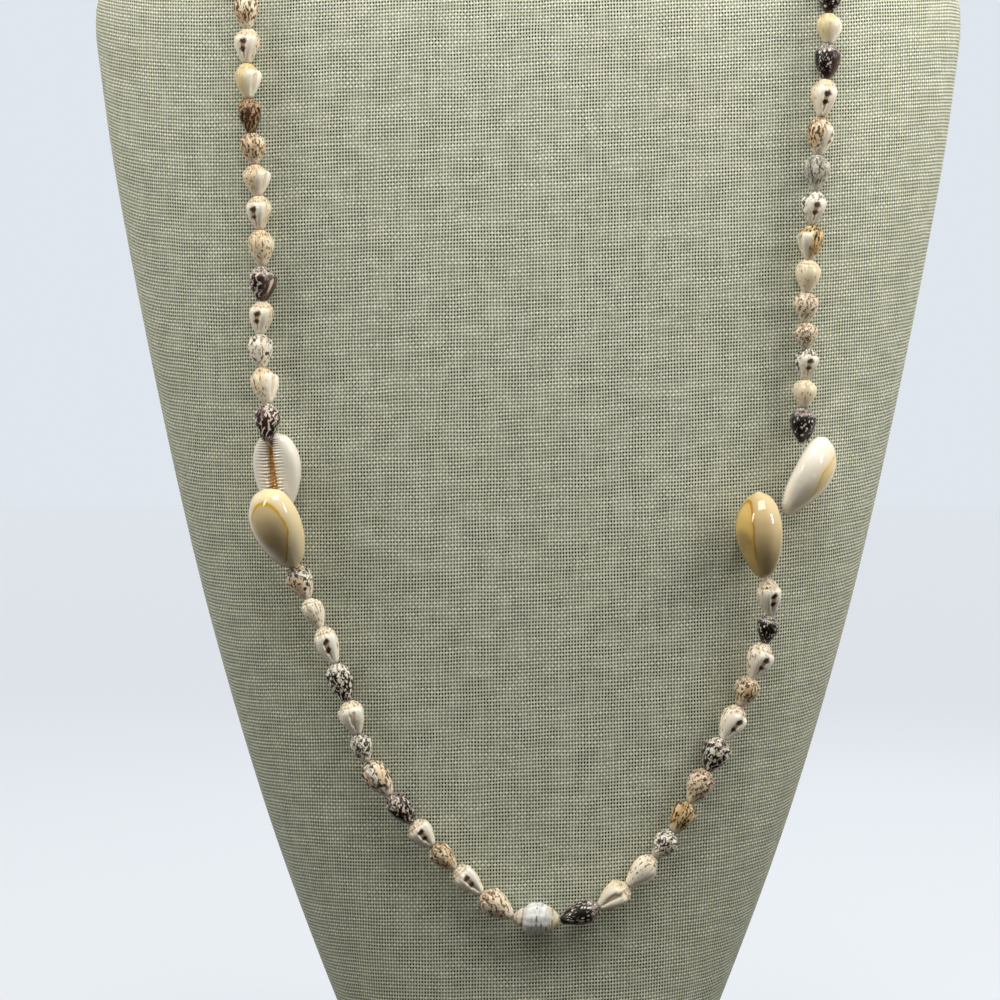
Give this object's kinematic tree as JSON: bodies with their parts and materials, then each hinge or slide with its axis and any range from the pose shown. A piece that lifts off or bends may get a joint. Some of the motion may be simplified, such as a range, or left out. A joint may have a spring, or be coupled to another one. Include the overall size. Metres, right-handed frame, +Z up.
{
  "type": "cowrie shell necklace on a neck bust",
  "caption": "Long string of small speckled dove shells with glossy ring cowries and a white whelk at the bottom, lying on a linen covered neck bust.",
  "frame": {"origin": "middle of the bust's flat foot, on the table", "axes": "+Z up the bust, +X to the right of someone who looks at the chest, -Y out of the chest towards them"},
  "size_m": [0.2376, 0.1177, 0.4],
  "materials": {
    "linen": "coarse plain weave in grey green linen",
    "white_thread": "fine twisted white thread",
    "small_shell": "satin natural shell with brown, black and golden speckles",
    "cowrie_flat_side": "glossy ivory shell with an ochre slit",
    "cowrie_back": "glossy ivory shell with a thin golden ring round a beige grey back",
    "cowrie_golden_back": "glossy amber and beige shell with a golden ring",
    "whelk": "satin white shell with tan seam lines and grey spots"
  },
  "bodies": {
    "root": {"neck_bust": "linen", "thread": "white_thread", "upper_left_string": "small_shell", "upper_right_string": "small_shell", "upper_left_cowrie": "cowrie_flat_side", "lower_left_cowrie": "cowrie_back", "upper_right_cowrie": "cowrie_flat_side", "lower_right_cowrie": "cowrie_golden_back", "bottom_whelk": "whelk", "lower_left_shell_01": "small_shell", "lower_left_shell_02": "small_shell", "lower_left_shell_03": "small_shell", "lower_left_shell_04": "small_shell", "lower_left_shell_05": "small_shell", "lower_left_shell_06": "small_shell", "lower_left_shell_07": "small_shell", "lower_left_shell_08": "small_shell", "lower_left_shell_09": "small_shell", "lower_left_shell_10": "small_shell", "lower_left_shell_11": "small_shell", "lower_left_shell_12": "small_shell", "lower_right_shell_01": "small_shell", "lower_right_shell_02": "small_shell", "lower_right_shell_03": "small_shell", "lower_right_shell_04": "small_shell", "lower_right_shell_05": "small_shell", "lower_right_shell_06": "small_shell", "lower_right_shell_07": "small_shell", "lower_right_shell_08": "small_shell", "lower_right_shell_09": "small_shell", "lower_right_shell_10": "small_shell", "lower_right_shell_11": "small_shell", "lower_right_shell_12": "small_shell"}
  },
  "joints": []
}
